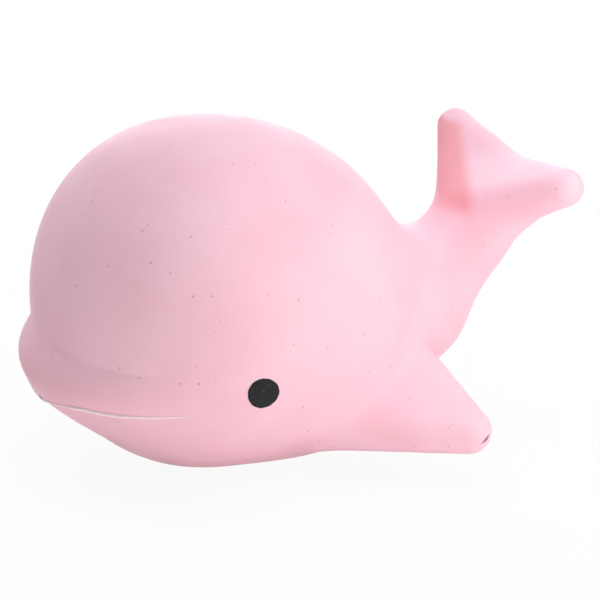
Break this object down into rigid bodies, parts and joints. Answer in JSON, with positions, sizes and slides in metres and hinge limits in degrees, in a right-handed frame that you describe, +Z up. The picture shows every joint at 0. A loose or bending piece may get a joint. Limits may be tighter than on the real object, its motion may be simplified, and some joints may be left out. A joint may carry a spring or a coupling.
{
  "type": "squishy foam dolphin toy",
  "caption": "Slow-rise foam squeeze toy shaped like a chubby dolphin, with a domed head that presses in, bendable side flippers and a raised tail with a lobed fluke.",
  "frame": {"origin": "middle of the flat patch of belly that the toy rests on", "axes": "+Z up, -Y towards the nose, +X towards the toy's left side"},
  "size_m": [0.0858, 0.1221, 0.0748],
  "materials": {
    "pink_foam": "matte self-skinned polyurethane foam, pale pink",
    "core_foam": "open-cell slow-rise polyurethane foam",
    "eye_ink": "printed black ink"
  },
  "bodies": {
    "trunk": {"body_skin": "pink_foam", "foam_core": "core_foam", "upper_lip": "pink_foam", "left_eye": "eye_ink", "right_eye": "eye_ink"},
    "crown": {"crown_skin": "pink_foam"},
    "tail": {"tail_stock": "pink_foam"},
    "left_fin": {"left_flipper": "pink_foam"},
    "right_fin": {"right_flipper": "pink_foam"},
    "left_lobe": {"left_fluke": "pink_foam"},
    "right_lobe": {"right_fluke": "pink_foam"}
  },
  "joints": [
    {"name": "squeeze", "type": "slide", "parent": "trunk", "child": "crown", "axis": [0, 0.2588, -0.9659], "range_m": [0, 0.018], "stiffness_N_per_m": 250, "deforming": ["foam_core"]},
    {"name": "tail_flex", "type": "hinge", "parent": "trunk", "child": "tail", "pos_m": [0, 0.0403, 0.028], "axis": [1, 0, 0], "range_deg": [-25, 25], "stiffness_Nm_per_rad": 0.08},
    {"name": "left_flipper_flex", "type": "hinge", "parent": "trunk", "child": "left_fin", "pos_m": [0.02321, 0.02255, 0.0157], "axis": [0.0379, -0.9194, -0.3914], "range_deg": [-20, 40], "stiffness_Nm_per_rad": 0.02},
    {"name": "right_flipper_flex", "type": "hinge", "parent": "trunk", "child": "right_fin", "pos_m": [-0.02321, 0.02255, 0.0157], "axis": [0.0379, 0.9194, 0.3914], "range_deg": [-20, 40], "stiffness_Nm_per_rad": 0.02},
    {"name": "left_fluke_flex", "type": "hinge", "parent": "tail", "child": "left_lobe", "pos_m": [0.008, 0.06368, 0.05073], "axis": [0, -0.8672, -0.498], "range_deg": [-25, 25], "stiffness_Nm_per_rad": 0.015},
    {"name": "right_fluke_flex", "type": "hinge", "parent": "tail", "child": "right_lobe", "pos_m": [-0.008, 0.06368, 0.05073], "axis": [0, 0.8672, 0.498], "range_deg": [-25, 25], "stiffness_Nm_per_rad": 0.015}
  ]
}
